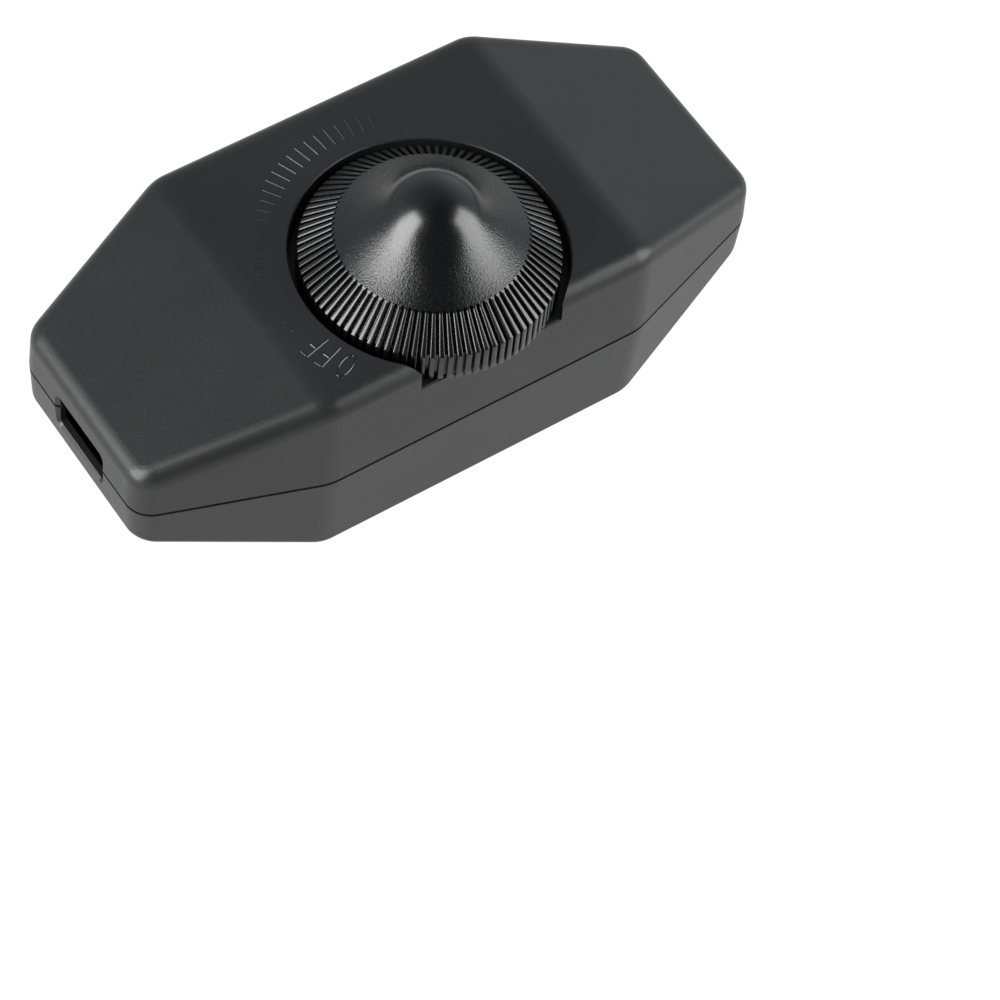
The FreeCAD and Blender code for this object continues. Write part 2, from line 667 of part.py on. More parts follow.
def switch_pin_spots():
    y = DIAL_Y + SWITCH_PIN_OFFSET
    return [(x, y) for x in (-SWITCH_PIN_PITCH / 2, SWITCH_PIN_PITCH / 2)]


def track_terminals():
    return group([strip(x, y, LEAD_Z, WAFER_Z) for x, y in track_pin_spots()])


def switch_terminals():
    return group([strip(x, y, LEAD_Z, BOARD_TOP) for x, y in switch_pin_spots()])


def switch_case():
    return dial_rod(SWITCH_RADIUS, BOARD_TOP, WAFER_Z)


# Circuit board

def circuit_board():
    half = BOARD_LENGTH / 2
    board = box(-half, half, -BOARD_HALF_WIDTH, BOARD_HALF_WIDTH, BOARD_Z, BOARD_TOP)
    low, high = BOARD_Z - CUT, BOARD_TOP + CUT
    room = BOSS_RADIUS + LOOSE
    notch = box(BOSS_X - room, half + CUT, BOSS_Y - room, BOARD_HALF_WIDTH + CUT, low, high)
    cuts = [notch, notch.rotated(V(0, 0, 0), UP, 180)]
    screw_hole = BOARD_SCREW_RADIUS + HOLE_PLAY
    cuts += [rod(screw_hole, low, high, x, y) for x, y in board_screw_spots()]
    cuts += [lead(x, y, low, high, HOLE_PLAY) for x, y in triac_pin_spots() + terminal_spots()]
    cuts += [strip(x, y, low, high, HOLE_PLAY) for x, y in track_pin_spots() + switch_pin_spots()]
    return board.cut(cuts + heat_sink_legs(HOLE_PLAY))


def board_screws():
    one = screw(BOARD_HEAD_RADIUS, BOARD_HEAD_HEIGHT, BOARD_SCREW_RADIUS, BOARD_SCREW_LENGTH)
    return group([at(one, x, y, BOARD_TOP) for x, y in board_screw_spots()])


def lead(x, y, z0, z1, play=0.0):
    """A square lead, or with some play, the hole that takes it."""
    half = LEAD_WIDTH / 2 + play
    return box(x - half, x + half, y - half, y + half, z0, z1)


def pins(spots, z1, z0=LEAD_Z):
    """Leads up to a height, from below the board or from the height where they are soldered."""
    return [lead(x, y, z0, z1) for x, y in spots]


def triac_pin_spots():
    y = HEAT_SINK_Y - TRIAC_THICKNESS / 2
    return [(HEAT_SINK_X + step * TRIAC_PIN_PITCH, y) for step in (-1, 0, 1)]


def across_rod(radius, x, y0, y1, z):
    return Part.makeCylinder(radius, y1 - y0, V(x, y0, z), ALONG_Y)


def triac():
    half = TRIAC_WIDTH / 2
    face = HEAT_SINK_Y - TRIAC_THICKNESS
    body = box(HEAT_SINK_X - half, HEAT_SINK_X + half, face, HEAT_SINK_Y, TRIAC_Z, TRIAC_Z + TRIAC_HEIGHT)
    bore = TRIAC_SCREW_RADIUS + HOLE_PLAY
    hole = across_rod(bore, HEAT_SINK_X, face - CUT, HEAT_SINK_Y + CUT, TRIAC_HOLE_Z)
    return body.fuse(pins(triac_pin_spots(), TRIAC_Z + CUT)).cut(hole)


def heat_sink_legs(play=0.0):
    """The two legs that go through the board, or with some play, the cuts that take them."""
    start = HEAT_SINK_X - HEAT_SINK_WIDTH / 2
    back = HEAT_SINK_Y + HEAT_SINK_THICKNESS
    left = box(start - play, start + HEAT_SINK_LEG + play, HEAT_SINK_Y - play, back + play, LEAD_Z, BOARD_TOP)
    return [left, at(left, HEAT_SINK_WIDTH - HEAT_SINK_LEG, 0, 0)]


def heat_sink():
    half = HEAT_SINK_WIDTH / 2
    back = HEAT_SINK_Y + HEAT_SINK_THICKNESS
    top = BOARD_TOP + HEAT_SINK_HEIGHT
    plate = box(HEAT_SINK_X - half, HEAT_SINK_X + half, HEAT_SINK_Y, back, BOARD_TOP, top)
    hole = across_rod(TRIAC_SCREW_RADIUS + SLIP, HEAT_SINK_X, HEAT_SINK_Y - CUT, back + CUT, TRIAC_HOLE_Z)
    return plate.fuse(heat_sink_legs()).cut(hole).removeSplitter()


def triac_screw():
    length = TRIAC_THICKNESS + HEAT_SINK_THICKNESS
    one = screw(TRIAC_HEAD_RADIUS, TRIAC_HEAD_HEIGHT, TRIAC_SCREW_RADIUS, length)
    one.rotate(V(0, 0, 0), ALONG_X, 90)
    return at(one, HEAT_SINK_X, HEAT_SINK_Y - TRIAC_THICKNESS, TRIAC_HOLE_Z)


def choke_ring(wire):
    """The ring core's section, swelled by the wire's thickness."""
    z0 = BOARD_TOP + CHOKE_WIRE - wire
    z1 = BOARD_TOP + CHOKE_WIRE + CHOKE_HEIGHT + wire
    inner, outer = CHOKE_HOLE - wire, CHOKE_RADIUS + wire
    return [V(CHOKE_X + r, CHOKE_Y, z) for r, z in ((inner, z0), (outer, z0), (outer, z1), (inner, z1))]


def choke_turned(wire, degrees):
    points = choke_ring(wire)
    face = Part.Face(Part.makePolygon(points + points[:1]))
    return face.revolve(V(CHOKE_X, CHOKE_Y, 0), UP, degrees)


def choke_pin_spots():
    reach = (CHOKE_HOLE + CHOKE_RADIUS) / 2
    ends = [math.radians(a) for a in (CHOKE_LEAD_DEG, CHOKE_TURN_DEG - CHOKE_LEAD_DEG)]
    return [(CHOKE_X + reach * math.cos(a), CHOKE_Y + reach * math.sin(a)) for a in ends]


def choke_core():
    return choke_turned(0, 360)


def choke_winding():
    """The coil as a sleeve round most of the ring, with its two ends going down to the board."""
    sleeve = choke_turned(CHOKE_WIRE, CHOKE_TURN_DEG).cut(choke_core())
    return sleeve.fuse(pins(choke_pin_spots(), BOARD_TOP + CHOKE_WIRE / 2, BOARD_TOP)).removeSplitter()


def capacitor(size, side):
    """A moulded box capacitor standing beside the potentiometer."""
    thick, length, height = size
    x = side * (CAN_RADIUS + CAP_FROM_CAN + thick / 2)
    across, along = thick / 2, length / 2
    body = box(x - across, x + across, CAP_Y - along, CAP_Y + along, BOARD_TOP, BOARD_TOP + height)
    return body.makeChamfer(CAP_BEVEL, [e for e in body.Edges if e.BoundBox.ZMax > BOARD_TOP + SLIP])


def film_capacitor():
    return capacitor(FILM_CAP_SIZE, 1)


def timing_capacitor():
    return capacitor(TIMING_CAP_SIZE, -1)


def axial_places():
    """Each wire-ended part: its (radius, length, lead span) and where it lies."""
    return {
        "timing_resistor": (RESISTOR_BODY, AXIAL_X, -AXIAL_ROW_Y),
        "damping_resistor": (RESISTOR_BODY, -AXIAL_X, -AXIAL_ROW_Y),
        "diac": (DIAC_BODY, AXIAL_OUTER_X, -AXIAL_OUTER_ROW_Y),
        "fuse_link": (FUSE_BODY, -AXIAL_OUTER_X, -AXIAL_OUTER_ROW_Y),
    }


def axial_part(name):
    """A round body lying along X, its leads bent down through the board."""
    (radius, length, span), x, y = axial_places()[name]
    z = BOARD_TOP + AXIAL_LIFT + radius
    half = LEAD_WIDTH / 2
    body = Part.makeCylinder(radius, length, V(x - length / 2, y, z), ALONG_X)
    ends = [(x - span / 2, y), (x + span / 2, y)]
    wire = box(ends[0][0] - half, ends[1][0] + half, y - half, y + half, z - half, z + half)
    return body.fuse([wire] + pins(ends, z, BOARD_TOP)).removeSplitter()


# Terminals

def terminal_spots():
    return four_corners(BLOCK_X, POLE_PITCH / 2)


def terminal_block(side):
    """A two-pole block, its wire mouths facing the near end of the case."""
    inner, outer = BLOCK_X - BLOCK_DEPTH / 2, BLOCK_X + BLOCK_DEPTH / 2
    half = BLOCK_WIDTH / 2
    top = BOARD_TOP + BLOCK_HEIGHT
    block = box(inner, outer, -half, half, BOARD_TOP, top)
    shoulder = [e for e in block.Edges if e.BoundBox.ZMin > top - SLIP and e.BoundBox.XMin > outer - SLIP]
    block = block.makeChamfer(BLOCK_BEVEL, shoulder)
    cage_z = BOARD_TOP + CAGE_LIFT
    mouth = CAGE_WIDTH / 2 + RUNNING
    cuts = []
    for y in (-POLE_PITCH / 2, POLE_PITCH / 2):
        back = BLOCK_X - CAGE_LENGTH / 2 - RUNNING
        cuts.append(box(back, outer + CUT, y - mouth, y + mouth, cage_z, cage_z + CAGE_HEIGHT + RUNNING))
        cuts.append(rod(TERMINAL_SCREW_RADIUS + RUNNING, cage_z, top + CUT, BLOCK_X, y))
        cuts.append(lead(BLOCK_X, y, BOARD_TOP - CUT, cage_z + CUT, RUNNING))
    block = block.cut(cuts)
    if side < 0:
        block.rotate(V(0, 0, 0), UP, 180)
    return block


def terminal_cages():
    cages = []
    z0 = BOARD_TOP + CAGE_LIFT
    for x, y in terminal_spots():
        long, wide = CAGE_LENGTH / 2, CAGE_WIDTH / 2
        cage = box(x - long, x + long, y - wide, y + wide, z0, z0 + CAGE_HEIGHT)
        half, middle = WIRE_HOLE / 2, z0 + CAGE_HEIGHT / 2
        hole = box(x - long - CUT, x + long + CUT, y - half, y + half, middle - half, middle + half)
        cages.append(cage.cut(hole).fuse(pins([(x, y)], z0)).removeSplitter())
    return group(cages)


def terminal_screws():
    z0 = BOARD_TOP + CAGE_LIFT + CAGE_HEIGHT
    z1 = z0 + TERMINAL_SCREW_LENGTH
    return group([rod(TERMINAL_SCREW_RADIUS, z0, z1, x, y) for x, y in terminal_spots()])


# Cord clamps

def cord_clamp(side):
    """The bar that presses the cord, with a blunt tooth across its underside."""
    x = side * CLAMP_X
    wide, half = CLAMP_WIDTH / 2, CLAMP_LENGTH / 2
    bar = box(x - wide, x + wide, -half, half, CLAMP_Z, CLAMP_Z + CLAMP_THICKNESS)
    bar = bar.makeChamfer(CLAMP_BEVEL, [e for e in bar.Edges if e.BoundBox.ZLength > CLAMP_THICKNESS / 2])
    reach = CLAMP_SPREAD / 2 - CLAMP_POST_WIDTH / 2 - LOOSE
    tooth = CLAMP_TOOTH_WIDTH / 2
    bar = bar.fuse(box(x - tooth, x + tooth, -reach, reach, CLAMP_Z - CLAMP_TOOTH, CLAMP_Z + LOOSE))
    bore = CLAMP_SCREW_RADIUS + HOLE_PLAY
    for y in (-CLAMP_SPREAD / 2, CLAMP_SPREAD / 2):
        bar = bar.cut(rod(bore, CLAMP_Z - CUT, CLAMP_Z + CLAMP_THICKNESS + CUT, x, y))
    return bar.removeSplitter()


def clamp_screws():
    one = screw(CLAMP_HEAD_RADIUS, CLAMP_HEAD_HEIGHT, CLAMP_SCREW_RADIUS, CLAMP_SCREW_LENGTH)
    z = CLAMP_Z + CLAMP_THICKNESS
    return group([at(one, x, y, z) for x, y in four_corners(CLAMP_X, CLAMP_SPREAD / 2)])


PIECES = {
    "top_cover": top_cover,
    "bottom_cover": bottom_cover,
    "case_screws": case_screws,
    "dial_knob": dial_knob,
    "pot_shaft": pot_shaft,
    "pot_bushing": pot_bushing,
    "bushing_washer": bushing_washer,
    "bushing_nut": bushing_nut,
    "pot_can": pot_can,
    "wiper_rotor": wiper_rotor,
    "wiper_spring": wiper_spring,
    "track_wafer": track_wafer,
    "track_terminals": track_terminals,
    "switch_case": switch_case,
    "switch_terminals": switch_terminals,
    "circuit_board": circuit_board,
    "board_screws": board_screws,
    "triac": triac,
    "heat_sink": heat_sink,
    "triac_screw": triac_screw,
    "choke_core": choke_core,
    "choke_winding": choke_winding,
    "film_capacitor": film_capacitor,
    "timing_capacitor": timing_capacitor,
    "timing_resistor": lambda: axial_part("timing_resistor"),
    "damping_resistor": lambda: axial_part("damping_resistor"),
    "diac": lambda: axial_part("diac"),
    "fuse_link": lambda: axial_part("fuse_link"),
    "line_terminal_block": lambda: terminal_block(-1),
    "load_terminal_block": lambda: terminal_block(1),
    "terminal_cages": terminal_cages,
    "terminal_screws": terminal_screws,
    "line_cord_clamp": lambda: cord_clamp(-1),
    "load_cord_clamp": lambda: cord_clamp(1),
    "clamp_screws": clamp_screws,
}

os.makedirs("parts", exist_ok=True)
for name, make in PIECES.items():
    shape = make()
    assert shape.isValid(), name
    shape.exportStep(os.path.join("parts", name + ".step"))
    print(name, len(shape.Solids), round(shape.Volume, 1))
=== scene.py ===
# %% [markdown]
# # A rotary cord dimmer
# The solids of this in-line dimmer are ready made: a two-part case, a hat-shaped dial and the works
# inside. In this lesson we give them their looks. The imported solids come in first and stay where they
# are, so every new surface can be placed in the same metres, with nothing to fit by eye.

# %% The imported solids
import bpy
import numpy as np
from mathutils import Matrix, Vector


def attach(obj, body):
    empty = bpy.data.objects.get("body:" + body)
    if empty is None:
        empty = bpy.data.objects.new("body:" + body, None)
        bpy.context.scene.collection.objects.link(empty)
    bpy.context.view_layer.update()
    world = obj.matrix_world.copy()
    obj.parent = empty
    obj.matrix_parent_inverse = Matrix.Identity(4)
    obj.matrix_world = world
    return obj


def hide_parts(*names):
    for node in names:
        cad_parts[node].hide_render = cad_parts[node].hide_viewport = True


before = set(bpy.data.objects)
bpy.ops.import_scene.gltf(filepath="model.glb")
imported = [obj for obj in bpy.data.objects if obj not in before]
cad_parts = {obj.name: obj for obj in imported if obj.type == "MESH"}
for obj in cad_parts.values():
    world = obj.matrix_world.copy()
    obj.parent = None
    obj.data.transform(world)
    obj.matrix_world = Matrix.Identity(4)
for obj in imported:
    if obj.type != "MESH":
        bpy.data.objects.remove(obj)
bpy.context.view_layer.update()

MM = 0.001

# %% [markdown]
# ## Camera
# A long lens high over the near left corner shows the top, the long side with the dial's rim, and the
# left end at once. Blender's Track To constraint could aim it, but the picture is also rolled a little,
# so the three axes of the camera are written out: its right, its up and the way back from the object.

# %% Camera
VIEW_FROM = np.array([-181.88, -239.22, 418.62]) * MM
VIEW_RIGHT = np.array([0.82951, -0.55295, 0.07853])
VIEW_UP = np.array([0.42626, 0.71767, 0.55069])
FOCAL_MM, SENSOR_MM = 146.22, 36.0
NEAREST, FARTHEST = 0.01, 50.0

lens = bpy.data.cameras.new("long_lens")
lens.sensor_width = SENSOR_MM
lens.lens = FOCAL_MM
lens.clip_start = NEAREST
lens.clip_end = FARTHEST
axes = np.eye(4)
axes[:3, 0] = VIEW_RIGHT
axes[:3, 1] = VIEW_UP
axes[:3, 2] = np.cross(VIEW_RIGHT, VIEW_UP)
axes[:3, 3] = VIEW_FROM
camera = bpy.data.objects.new("long_lens", lens)
camera.matrix_world = Matrix(axes.tolist())
bpy.context.scene.collection.objects.link(camera)
bpy.context.scene.camera = camera
bpy.context.scene.view_settings.view_transform = "Standard"
print("camera", round(float(np.linalg.norm(VIEW_FROM)) / MM), "mm from the object's foot")

# %% [markdown]
# ## Table
# The dimmer lies on a white table. Black plastic is drawn by what it mirrors: seen from above, the walls
# mirror the table and turn pale, and the top mirrors the room. A plain white plane would need so much
# light that the plastic turned grey, so this one also glows.

# %% Table
TABLE_HALF, TABLE_Z = 4.0, -0.2 * MM


def flat_grid(half, z, count=9):
    """A square of count by count points: x and y run evenly from -half to half at one height."""
    line = np.linspace(-half, half, count)
    x, y = np.meshgrid(line, line)
    points = np.stack([x, y, np.full_like(x, z)], axis=-1).reshape(-1, 3)
    step = np.arange(count - 1)
    first = (step[:, None] * count + step).ravel()
    return points, np.stack([first, first + 1, first + count + 1, first + count], axis=-1)


def add_mesh(name, points, faces):
    """Puts points and faces into a new object at the origin, shaded smooth."""
    mesh = bpy.data.meshes.new(name)
    mesh.from_pydata(points.tolist(), [], [list(face) for face in faces])
    mesh.polygons.foreach_set("use_smooth", np.ones(len(mesh.polygons), dtype=bool))
    mesh.update()
    piece = bpy.data.objects.new(name, mesh)
    bpy.context.scene.collection.objects.link(piece)
    print(name, len(mesh.vertices), "points", len(mesh.polygons), "faces")
    return piece


table = add_mesh("table", *flat_grid(TABLE_HALF, TABLE_Z))

# %% [markdown]
# Materials are nodes and links. Three small helpers save repeating them: a new material, a Map Range
# that carries a value from one range to another, and a Math node.

# %% Helpers for nodes
def blank_material(name):
    """A new node material with a Principled surface, as (material, tree, surface)."""
    material = bpy.data.materials.new(name)
    material.use_nodes = True
    tree = material.node_tree
    return material, tree, tree.nodes["Principled BSDF"]


def carried(tree, value, start, end, low, high, soft=True):
    """Carries a value from start..end to low..high, held beyond: along an S if soft, else straight."""
    spread = tree.nodes.new("ShaderNodeMapRange")
    spread.interpolation_type = "SMOOTHSTEP" if soft else "LINEAR"
    for socket, number in (("From Min", start), ("From Max", end), ("To Min", low), ("To Max", high)):
        spread.inputs[socket].default_value = number
    tree.links.new(value, spread.inputs["Value"])
    return spread.outputs[0]


def combined(tree, operation, first, second):
    """One Math node: first is a socket, second another socket or a number."""
    math_node = tree.nodes.new("ShaderNodeMath")
    math_node.operation = operation
    tree.links.new(first, math_node.inputs[0])
    if isinstance(second, bpy.types.NodeSocket):
        tree.links.new(second, math_node.inputs[1])
    else:
        math_node.inputs[1].default_value = second
    return math_node.outputs[0]

# %% [markdown]
# Light Path tells the table which ray asks. To the eye it is white. In reflections it is nearly white
# close to the object and fades farther out, so the walls turn pale, but the rounded edges don't mirror
# a bright horizon. A tenth of what is seen stays plain paint, which keeps a trace of the shadow.

# %% White table
PAINT, PAINT_ROUGH = (0.8, 0.8, 0.8, 1), 0.9
WHITE_TO_EYE, GLOW_SHARE = 1.08, 0.9
CLOSE, FAR_OUT = 0.17, 0.36
CLOSE_WHITE, FAR_WHITE = 0.9, 0.12

material, tree, surface = blank_material("white_table")
surface.inputs["Base Color"].default_value = PAINT
surface.inputs["Roughness"].default_value = PAINT_ROUGH
path = tree.nodes.new("ShaderNodeLightPath")
place = tree.nodes.new("ShaderNodeTexCoord")
reach = tree.nodes.new("ShaderNodeVectorMath")
reach.operation = "LENGTH"
tree.links.new(place.outputs["Object"], reach.inputs[0])
fade = carried(tree, reach.outputs["Value"], CLOSE, FAR_OUT, CLOSE_WHITE, FAR_WHITE)
to_eye = combined(tree, "MULTIPLY", path.outputs["Is Camera Ray"], WHITE_TO_EYE)
glow = tree.nodes.new("ShaderNodeEmission")
tree.links.new(combined(tree, "MAXIMUM", to_eye, fade), glow.inputs["Strength"])
seen = combined(tree, "MAXIMUM", path.outputs["Is Camera Ray"], path.outputs["Is Glossy Ray"])
seen = combined(tree, "MAXIMUM", seen, path.outputs["Is Transmission Ray"])
mix = tree.nodes.new("ShaderNodeMixShader")
tree.links.new(combined(tree, "MULTIPLY", seen, GLOW_SHARE), mix.inputs["Fac"])
tree.links.new(surface.outputs[0], mix.inputs[1])
tree.links.new(glow.outputs[0], mix.inputs[2])
tree.links.new(mix.outputs[0], tree.nodes["Material Output"].inputs["Surface"])
table.data.materials.append(material)
print("table white", WHITE_TO_EYE, "to the eye, in reflections from", CLOSE_WHITE, "to", FAR_WHITE)

# %% [markdown]
# ## Soft boxes
# Two bright streaks run down the dial. A Sun or a Spot would only leave points on such a round form. A
# tall rectangular Area lamp leaves a streak, so one stands on the left and a shorter one on the right.
# Each is given by its radiance, and its power follows as radiance times area times pi.

# %% Soft boxes
def soft_box(name, azimuth, distance, wide, low, high, radiance):
    """An upright rectangular lamp that stands at an azimuth from low to high and shines evenly inward."""
    a = np.radians(azimuth)
    toward = Vector((np.cos(a), np.sin(a), 0.0))
    lamp = bpy.data.lights.new(name, "AREA")
    lamp.shape = "RECTANGLE"
    lamp.size, lamp.size_y = wide, high - low
    lamp.energy = radiance * wide * (high - low) * np.pi
    box = bpy.data.objects.new(name, lamp)
    middle = toward * distance + Vector((0.0, 0.0, (low + high) / 2))
    box.matrix_world = Matrix.Translation(middle) @ toward.to_track_quat("Z", "Y").to_matrix().to_4x4()
    bpy.context.scene.collection.objects.link(box)
    print(name, "radiance", radiance, "area", round(wide * (high - low), 3))


soft_box("left_box", azimuth=174.5, distance=0.8, wide=0.58, low=0.02, high=1.14, radiance=10.5)
soft_box("right_box", azimuth=-42, distance=0.8, wide=0.58, low=0.02, high=0.86, radiance=6.6)

# %% [markdown]
# ## Room
# The top and the dial mirror the room. A picture of a studio could light the world, but three soft ramps
# on the direction are enough: dim towards the viewer and paler behind, less so overhead, and some more
# light from the right.

# %% Room
TOWARDS_VIEWER, BEHIND = (-0.35, 0.06), (0.62, 0.55)
LEVEL, OVERHEAD = (0.35, 1.0), (0.9, 0.57)
MIDDLE, RIGHT = (0.4, 0.0), (0.95, 0.45)
ROOM_TINT = (0.93, 0.97, 1.0, 1)


def place_of(tree, kind):
    """The X, Y and Z sockets of one kind of coordinates."""
    place = tree.nodes.new("ShaderNodeTexCoord")
    split = tree.nodes.new("ShaderNodeSeparateXYZ")
    tree.links.new(place.outputs[kind], split.inputs[0])
    return split.outputs


def from_to(tree, value, first, last):
    """A soft ramp between two (direction, light) pairs."""
    return carried(tree, value, first[0], last[0], first[1], last[1])


world = bpy.data.worlds.new("room")
bpy.context.scene.world = world
world.use_nodes = True
tree = world.node_tree
way = place_of(tree, "Generated")
depth = from_to(tree, way["Y"], TOWARDS_VIEWER, BEHIND)
fall = from_to(tree, way["Z"], LEVEL, OVERHEAD)
side = from_to(tree, way["X"], MIDDLE, RIGHT)
light = combined(tree, "ADD", combined(tree, "MULTIPLY", depth, fall), side)
tree.links.new(light, tree.nodes["Background"].inputs["Strength"])
tree.nodes["Background"].inputs["Color"].default_value = ROOM_TINT
print("room light from", TOWARDS_VIEWER[1], "to", BEHIND[1])

# %% [markdown]
# ## Finishes
# Every finish follows one recipe on Object coordinates: a broad cloud moves between two tones, a fine
# grain moves the roughness, and the same grain lifts the surface by some hundredths of a millimetre at
# most. Image textures would need unwrapping, and these small moulded and turned pieces don't need any.
# What is the same all over, such as metallic, is set on the surface itself.

# %% The recipe
NOISE_LOW, NOISE_HIGH = 0.3, 0.7
CLOUD_DETAIL, GRAIN_DETAIL = 3.0, 2.0
ROUGH_SWING = 0.05
COLOUR_A, COLOUR_B, COLOUR_OUT = 6, 7, 2


def cloud(tree, size_mm, detail):
    """A noise on Object coordinates whose blotches are about size_mm across."""
    place = tree.nodes.new("ShaderNodeTexCoord")
    noise = tree.nodes.new("ShaderNodeTexNoise")
    noise.inputs["Scale"].default_value = 1.0 / (size_mm * MM)
    noise.inputs["Detail"].default_value = detail
    tree.links.new(place.outputs["Object"], noise.inputs["Vector"])
    return noise.outputs["Fac"]


def between(tree, noise, low, high):
    """Carries the middle of a noise, NOISE_LOW to NOISE_HIGH, to the range from low to high."""
    return carried(tree, noise, NOISE_LOW, NOISE_HIGH, low, high, soft=False)


def two_tones(tree, share, dark, light):
    """Mixes two colours by a share from 0 to 1."""
    mix = tree.nodes.new("ShaderNodeMix")
    mix.data_type = "RGBA"
    mix.inputs[COLOUR_A].default_value = (*dark, 1)
    mix.inputs[COLOUR_B].default_value = (*light, 1)
    tree.links.new(share, mix.inputs["Factor"])
    return mix.outputs[COLOUR_OUT]


def lifted(tree, noise, height_mm, strength):
    """A bump whose full swing is height_mm."""
    bump = tree.nodes.new("ShaderNodeBump")
    bump.inputs["Distance"].default_value = height_mm * MM
    bump.inputs["Strength"].default_value = strength
    tree.links.new(noise, bump.inputs["Height"])
    return bump.outputs[0]


def finish(name, dark, light, cloud_mm, grain_mm, rough, height_mm,
           strength=1.0, metallic=0.0, specular=0.5):
    """A two-tone finish with a fine grain: clouds tint it, the grain breaks its gloss and lifts it."""
    material, tree, surface = blank_material(name)
    tint = between(tree, cloud(tree, cloud_mm, CLOUD_DETAIL), 0.0, 1.0)
    tree.links.new(two_tones(tree, tint, dark, light), surface.inputs["Base Color"])
    grain = cloud(tree, grain_mm, GRAIN_DETAIL)
    gloss = between(tree, grain, rough - ROUGH_SWING, rough + ROUGH_SWING)
    tree.links.new(gloss, surface.inputs["Roughness"])
    tree.links.new(lifted(tree, grain, height_mm, strength), surface.inputs["Normal"])
    surface.inputs["Metallic"].default_value = metallic
    surface.inputs["Specular IOR Level"].default_value = specular
    return material

# %% [markdown]
# The case is black plastic from a spark-eroded mould: nearly matt, with a grain of about a quarter of a
# millimetre. The dial is the same plastic from a smoother mould, blacker and glossier.

# %% Case and dial
CASE_TONES = (0.0122, 0.0124, 0.0129), (0.0152, 0.0154, 0.0159)
DIAL_TONES = (0.0020, 0.0021, 0.0024), (0.0034, 0.0035, 0.0038)
looks = {
    "case_plastic": finish("case_plastic", *CASE_TONES, cloud_mm=14.0, grain_mm=0.26, rough=0.37,
                           height_mm=0.02, strength=0.5, specular=0.39),
    "dial_plastic": finish("dial_plastic", *DIAL_TONES, cloud_mm=9.0, grain_mm=0.2, rough=0.24,
                           height_mm=0.05, specular=0.6),
}
print("finishes:", sorted(looks))

# %% [markdown]
# On the dial the grain shows on the flank alone. The ribs below are cut smooth, and fingers polish the
# tip. Two materials would leave a hard border, so a Color Ramp on height sets the strength of the bump.

# %% Smooth ribs and polished tip
FLANK_GRAIN = [(32.6, 0.0), (32.85, 1.0), (35.5, 1.0), (39.0, 0.03)]


def grey(share):
    """A colour with the same share of red, green and blue."""
    return (share, share, share, 1)


def fading(material, stops):
    """Fades a finish's bump with height: stops are (height in mm, share) pairs from low to high."""
    tree = material.node_tree
    bump = next(node for node in tree.nodes if node.type == "BUMP")
    low, high = stops[0][0], stops[-1][0]
    height = carried(tree, place_of(tree, "Object")["Z"], low * MM, high * MM, 0.0, 1.0, soft=False)
    steps = tree.nodes.new("ShaderNodeValToRGB")
    steps.color_ramp.elements[0].color = grey(stops[0][1])
    steps.color_ramp.elements[1].color = grey(stops[-1][1])
    for z, share in stops[1:-1]:
        steps.color_ramp.elements.new((z - low) / (high - low)).color = grey(share)
    tree.links.new(height, steps.inputs["Fac"])
    tree.links.new(steps.outputs["Color"], bump.inputs["Strength"])


fading(looks["dial_plastic"], FLANK_GRAIN)
print("dial grain from", FLANK_GRAIN[0][0], "to", FLANK_GRAIN[-1][0], "mm")

# %% [markdown]
# The works inside only show through the cord slots or when the case is opened. Metals get a grain that
# reads as plating or turning marks, moulded parts a matt grain, the board a brown laminate. A row gives
# the two tones, the sizes of cloud and grain in millimetres, the roughness and the grain's height.

# %% Works
METALS = {
    "steel": ((0.52, 0.52, 0.53), (0.66, 0.66, 0.67), 3.0, 0.12, 0.34, 0.006),
    "shaft_metal": ((0.66, 0.66, 0.67), (0.78, 0.78, 0.79), 2.0, 0.1, 0.3, 0.006),
    "brass": ((0.62, 0.44, 0.17), (0.78, 0.58, 0.26), 2.0, 0.1, 0.28, 0.005),
    "tinned": ((0.6, 0.6, 0.58), (0.74, 0.74, 0.72), 1.5, 0.1, 0.36, 0.008),
    "copper_wire": ((0.56, 0.21, 0.08), (0.74, 0.32, 0.14), 0.9, 0.2, 0.26, 0.01),
}
OTHERS = {
    "inner_plastic": ((0.03, 0.028, 0.028), (0.045, 0.042, 0.042), 6.0, 0.2, 0.5, 0.01),
    "laminate": ((0.20, 0.12, 0.045), (0.28, 0.17, 0.07), 2.2, 0.35, 0.45, 0.012),
    "ferrite": ((0.045, 0.046, 0.05), (0.075, 0.076, 0.08), 1.2, 0.15, 0.62, 0.015),
    "capacitor_plastic": ((0.34, 0.20, 0.03), (0.44, 0.27, 0.05), 4.0, 0.2, 0.4, 0.01),
    "resistor_coat": ((0.44, 0.33, 0.2), (0.54, 0.42, 0.27), 1.2, 0.15, 0.42, 0.01),
    "diode_glass": ((0.03, 0.08, 0.2), (0.06, 0.13, 0.28), 1.2, 0.15, 0.18, 0.004),
    "terminal_plastic": ((0.3, 0.31, 0.31), (0.37, 0.38, 0.38), 4.0, 0.2, 0.45, 0.01),
    "clamp_plastic": ((0.05, 0.05, 0.052), (0.07, 0.07, 0.072), 4.0, 0.2, 0.5, 0.012),
}
looks.update({name: finish(name, *row, metallic=1.0) for name, row in METALS.items()})
looks.update({name: finish(name, *row) for name, row in OTHERS.items()})
print("finishes:", len(looks))

# %% [markdown]
# The solids come with plain materials that are named for their slots. Each slot gets the finish of the
# same name, so the solids' own meshes stay untouched.

# %% Dress the solids
dressed = 0
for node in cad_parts.values():
    for slot in node.material_slots:
        slot.material = looks[slot.material.name.split(".")[0]]
        dressed += 1
print("slots dressed:", dressed)

